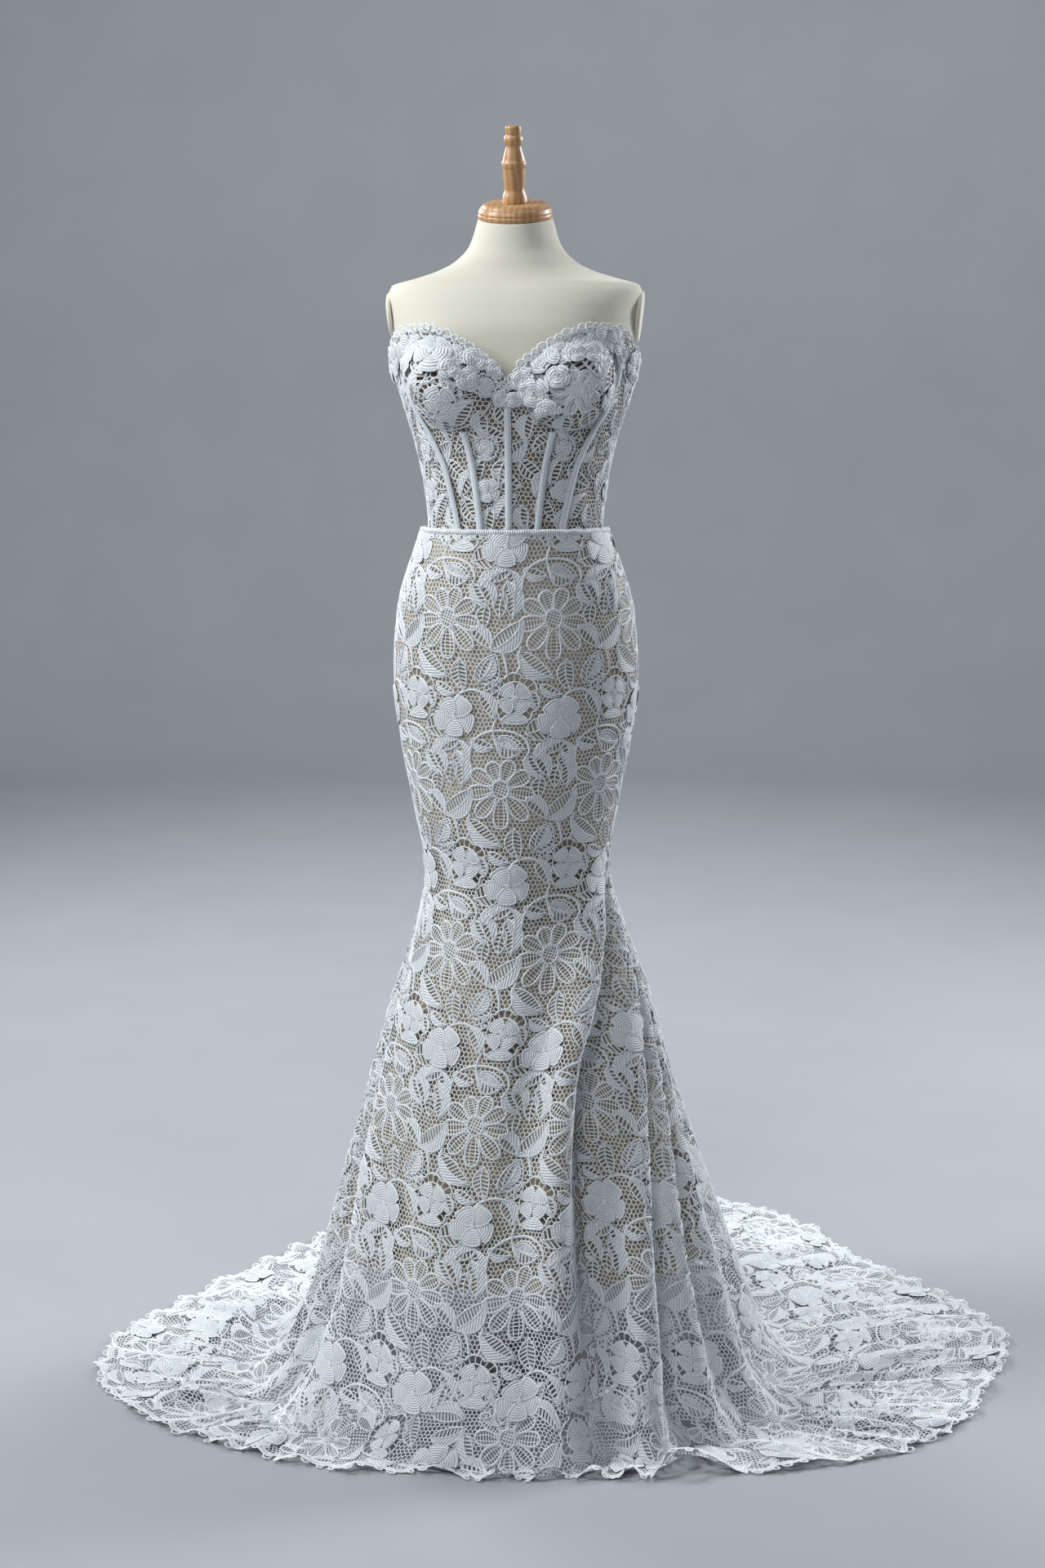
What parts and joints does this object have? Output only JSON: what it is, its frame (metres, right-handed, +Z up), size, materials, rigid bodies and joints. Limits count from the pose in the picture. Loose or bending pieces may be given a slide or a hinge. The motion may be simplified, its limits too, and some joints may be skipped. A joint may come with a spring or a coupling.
{
  "type": "strapless lace wedding dress with a train, on a dress form and stand",
  "caption": "Strapless fitted lace wedding dress with cups, bone channels, flared hem and scalloped train, worn by a limbless dress form on a stand.",
  "frame": {"origin": "centre of the underside of the stand's base, on the floor", "axes": "+Z up; the front of the dress looks along -Y, the train runs out along +Y, and +X is the left side of the form"},
  "size_m": [1.2462, 1.1232, 1.6433],
  "materials": {
    "lace": "matt corded guipure lace",
    "lining": "soft champagne lining",
    "satin": "satin binding with a low sheen",
    "applique": "raised satin-stitched flowers",
    "canvas": "ivory canvas cover, matt",
    "wood": "varnished turned wood",
    "metal": "plain painted stand"
  },
  "bodies": {
    "root": {"arm_plate_left": "canvas", "arm_plate_right": "canvas", "bodice_lace_back_left": "lace", "bodice_lace_back_right": "lace", "bodice_lace_cup_left": "lace", "bodice_lace_cup_right": "lace", "bodice_lace_front": "lace", "bodice_lace_side_front_left": "lace", "bodice_lace_side_front_right": "lace", "bodice_lace_side_left": "lace", "bodice_lace_side_right": "lace", "bodice_lining_back_left": "lining", "bodice_lining_back_right": "lining", "bodice_lining_front": "lining", "bodice_placket": "satin", "bone_channel_centre": "satin", "bone_channel_inner_left": "satin", "bone_channel_inner_right": "satin", "bone_channel_outer_left": "satin", "bone_channel_outer_right": "satin", "button_01": "applique", "button_02": "applique", "button_03": "applique", "button_04": "applique", "button_05": "applique", "button_06": "applique", "button_07": "applique", "button_08": "applique", "button_09": "applique", "button_10": "applique", "button_11": "applique", "button_12": "applique", "finial": "wood", "form_body": "canvas", "neck_cap": "wood", "neckline_flowers_back_left": "applique", "neckline_flowers_back_right": "applique", "neckline_flowers_cup_left": "applique", "neckline_flowers_cup_right": "applique", "neckline_flowers_side_left": "applique", "neckline_flowers_side_right": "applique", "skirt_lace_back_left": "lace", "skirt_lace_back_right": "lace", "skirt_lace_front": "lace", "skirt_lace_godet_left": "lace", "skirt_lace_godet_right": "lace", "skirt_lining_back_left": "lining", "skirt_lining_back_right": "lining", "skirt_lining_front": "lining", "skirt_placket": "satin", "stand_base": "metal", "stand_pole": "metal"}
  },
  "joints": []
}
